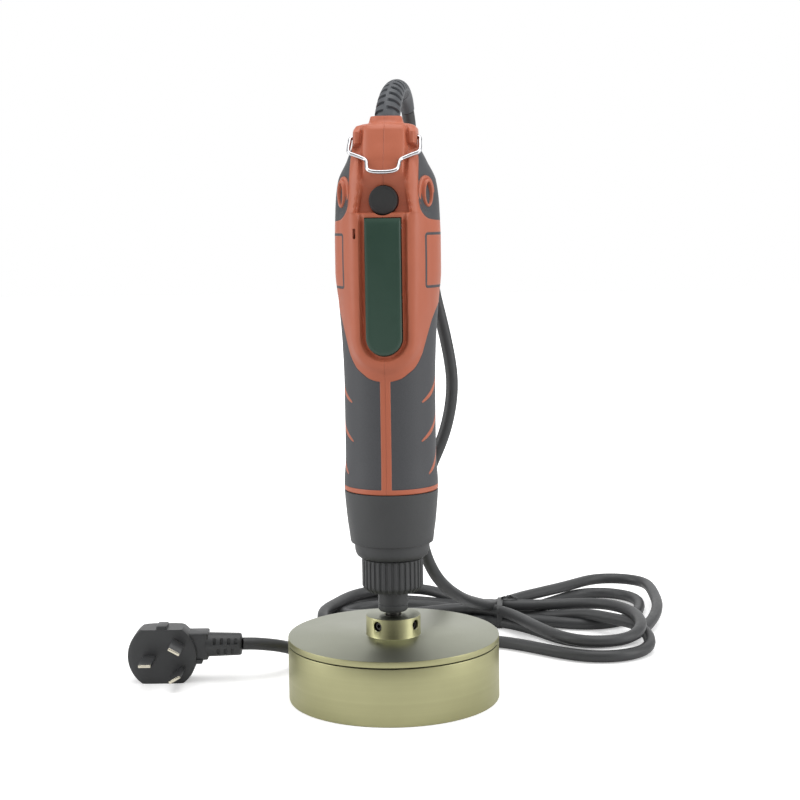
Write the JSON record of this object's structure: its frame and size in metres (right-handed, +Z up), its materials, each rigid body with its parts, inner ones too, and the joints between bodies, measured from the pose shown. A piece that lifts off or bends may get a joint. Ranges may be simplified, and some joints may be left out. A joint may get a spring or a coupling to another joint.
{
  "type": "handheld capping machine",
  "caption": "Handheld electric capping machine with start lever and direction button, standing on its round bottle-capping head, with hanging bail and tied mains lead.",
  "frame": {"origin": "centre of the capping head's bottom rim, on the spindle axis", "axes": "+Z up along the spindle, -Y the side with the start lever, +X to the right seen from that side"},
  "size_m": [0.273, 0.2849, 0.2912],
  "materials": {
    "orange_plastic": "satin moulded",
    "black_plastic": "satin moulded",
    "green_plastic": "semi gloss",
    "black_rubber": "matte",
    "liner_rubber": "matte",
    "champagne_aluminium": "brushed and anodised",
    "bright_steel": "polished",
    "gear_steel": "satin",
    "dark_steel": "blackened",
    "copper": "satin",
    "carbon": "matte",
    "plug_brass": "nickel plated"
  },
  "bodies": {
    "housing": {"casing_left": "orange_plastic", "casing_right": "orange_plastic", "casing_screw_1": "bright_steel", "casing_screw_2": "bright_steel", "casing_screw_3": "bright_steel", "nose_cone": "black_plastic", "ring_gear": "gear_steel", "gearbox_plate": "gear_steel", "front_bearing": "bright_steel", "mid_bearing": "bright_steel", "rear_bearing": "bright_steel", "motor_stator": "dark_steel", "brush_holder_left": "plug_brass", "brush_holder_right": "plug_brass", "brush_left": "carbon", "brush_right": "carbon", "air_inlet_left": "orange_plastic", "air_inlet_right": "orange_plastic", "lever_pin": "bright_steel", "lever_spring": "bright_steel", "start_switch": "black_plastic", "direction_switch": "black_plastic", "terminal_block": "black_plastic", "cable_clamp": "black_plastic", "strain_relief": "black_rubber", "clutch_spring": "bright_steel", "cord_drop": "black_rubber", "cord_hank": "black_rubber", "cord_lead": "black_rubber", "cord_tie": "black_rubber", "plug_body": "black_rubber", "plug_blade_1": "plug_brass", "plug_blade_2": "plug_brass", "plug_blade_3": "plug_brass"},
    "spindle": {"spindle": "gear_steel", "bit_shaft": "dark_steel", "head_plate": "champagne_aluminium", "head_cup": "champagne_aluminium", "head_liner": "liner_rubber", "lid_pad": "liner_rubber", "hub_set_screw_1": "dark_steel", "hub_set_screw_2": "dark_steel", "hub_set_screw_3": "dark_steel", "hub_set_screw_4": "dark_steel", "plate_screw_1": "bright_steel", "plate_screw_2": "bright_steel", "plate_screw_3": "bright_steel"},
    "sleeve": {"bit_sleeve": "black_plastic"},
    "rotor": {"rotor_shaft": "gear_steel", "armature_core": "copper", "commutator": "copper", "cooling_fan": "black_plastic"},
    "planet_1": {"planet_gear_1": "gear_steel"},
    "planet_2": {"planet_gear_2": "gear_steel"},
    "planet_3": {"planet_gear_3": "gear_steel"},
    "torque_ring": {"torque_ring": "black_plastic"},
    "spring_seat": {"spring_seat": "bright_steel"},
    "lever": {"start_lever": "green_plastic"},
    "button": {"direction_button": "black_plastic"},
    "bail": {"bail": "bright_steel"}
  },
  "joints": [
    {"name": "spindle_spin", "type": "hinge", "parent": "housing", "child": "spindle", "pos_m": [0, 0, 0.05], "axis": [0, 0, 1], "continuous": true},
    {"name": "rotor_spin", "type": "hinge", "parent": "housing", "child": "rotor", "pos_m": [0, 0, 0.14], "axis": [0, 0, 1], "continuous": true},
    {"name": "planet_1_spin", "type": "hinge", "parent": "spindle", "child": "planet_1", "pos_m": [0.009, 0, 0.0926], "axis": [0, 0, 1], "continuous": true},
    {"name": "planet_2_spin", "type": "hinge", "parent": "spindle", "child": "planet_2", "pos_m": [-0.0045, 0.00779, 0.0926], "axis": [0, 0, 1], "continuous": true},
    {"name": "planet_3_spin", "type": "hinge", "parent": "spindle", "child": "planet_3", "pos_m": [-0.0045, -0.00779, 0.0926], "axis": [0, 0, 1], "continuous": true},
    {"name": "sleeve_slide", "type": "slide", "parent": "spindle", "child": "sleeve", "axis": [0, 0, 1], "range_m": [0, 0.003], "stiffness_N_per_m": 150, "springref_m": -0.002},
    {"name": "torque_ring_turn", "type": "hinge", "parent": "housing", "child": "torque_ring", "pos_m": [0, 0, 0.058], "axis": [0, 0, 1], "range_deg": [0, 720]},
    {"name": "spring_seat_slide", "type": "slide", "parent": "housing", "child": "spring_seat", "axis": [0, 0, 1], "range_m": [0, 0.003], "deforming": ["clutch_spring"]},
    {"name": "lever_press", "type": "hinge", "parent": "housing", "child": "lever", "pos_m": [0, -0.0182, 0.2222], "axis": [1, 0, 0], "range_deg": [0, 4], "stiffness_Nm_per_rad": 0.6, "springref_deg": -5.73, "deforming": ["lever_spring"]},
    {"name": "button_press", "type": "slide", "parent": "housing", "child": "button", "axis": [0, 1, 0], "range_m": [0, 0.002], "stiffness_N_per_m": 300, "springref_m": -0.001},
    {"name": "bail_swing", "type": "hinge", "parent": "housing", "child": "bail", "pos_m": [0, -0.005, 0.2628], "axis": [-1, 0, 0], "range_deg": [0, 135]}
  ],
  "couplings": [
    {"joint": "rotor_spin", "follows": "spindle_spin", "ratio": 5},
    {"joint": "planet_1_spin", "follows": "spindle_spin", "ratio": -2.6667},
    {"joint": "planet_2_spin", "follows": "spindle_spin", "ratio": -2.6667},
    {"joint": "planet_3_spin", "follows": "spindle_spin", "ratio": -2.6667},
    {"joint": "spring_seat_slide", "follows": "torque_ring_turn", "m_per_rad": 0.000238}
  ]
}
